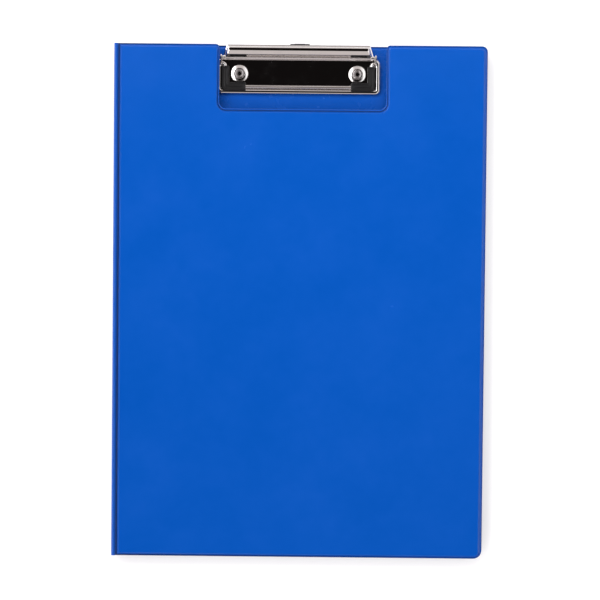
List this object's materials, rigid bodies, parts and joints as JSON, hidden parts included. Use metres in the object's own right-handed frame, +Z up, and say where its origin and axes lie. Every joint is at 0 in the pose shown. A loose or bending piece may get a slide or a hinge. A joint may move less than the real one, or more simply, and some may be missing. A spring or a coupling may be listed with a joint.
{
  "type": "clipboard folder",
  "caption": "Clipboard folder with stiff welded covers on a creased spine; a low lever clip with a wire bail stands in a notch of the front cover.",
  "frame": {"origin": "middle of the back cover's outer face, which the closed folder lies on", "axes": "+X from the spine to the open edge, +Y towards the clip, +Z up from the back cover to the front cover"},
  "size_m": [0.2314, 0.3201, 0.0122],
  "materials": {
    "greyboard": "bare greyboard",
    "blue_foil": "satin welded foil",
    "blue_foil_inside": "satin foil",
    "pocket_foil": "satin foil",
    "chrome_plate": "polished plating",
    "chrome_lever": "polished plating",
    "chrome_wire": "polished plating",
    "rivet_chrome": "plated, rolled",
    "washer_chrome": "polished plating",
    "steel_pin": "drawn wire",
    "black_rubber": "matt moulded",
    "dark_tab": "dark lacquer"
  },
  "bodies": {
    "back_cover": {"back_board": "greyboard", "back_outer_skin": "blue_foil", "back_inner_skin": "blue_foil_inside", "clip_base_plate": "chrome_plate", "lever_hinge_pin": "steel_pin", "clip_rivets": "rivet_chrome", "rivet_washers": "washer_chrome"},
    "spine": {"spine_board": "greyboard", "spine_outer_skin": "blue_foil", "spine_inner_skin": "blue_foil_inside"},
    "front_cover": {"front_board": "greyboard", "front_outer_skin": "blue_foil", "front_inner_skin": "blue_foil_inside", "document_pocket": "pocket_foil"},
    "lever": {"clip_lever": "chrome_lever"},
    "bail": {"bail_wire": "chrome_wire", "left_grip_pad": "black_rubber", "right_grip_pad": "black_rubber"},
    "hanger": {"hanger_tab": "dark_tab"}
  },
  "joints": [
    {"name": "back_crease", "type": "hinge", "parent": "back_cover", "child": "spine", "pos_m": [-0.11445, 0, 0.0013], "axis": [0, -1, 0], "range_deg": [0, 90]},
    {"name": "front_crease", "type": "hinge", "parent": "spine", "child": "front_cover", "pos_m": [-0.11445, 0, 0.0099], "axis": [0, -1, 0], "range_deg": [0, 90]},
    {"name": "lever_hinge", "type": "hinge", "parent": "back_cover", "child": "lever", "pos_m": [-0.0015, 0.1518, 0.00625], "axis": [1, 0, 0], "range_deg": [0, 90]},
    {"name": "bail_hinge", "type": "hinge", "parent": "back_cover", "child": "bail", "pos_m": [-0.0015, 0.1483, 0.00585], "axis": [1, 0, 0], "range_deg": [-25, 0]},
    {"name": "hanger_slide", "type": "slide", "parent": "back_cover", "child": "hanger", "axis": [0, 1, 0], "range_m": [0, 0.013]}
  ],
  "couplings": [
    {"joint": "bail_hinge", "follows": "lever_hinge", "ratio": -0.2777}
  ]
}
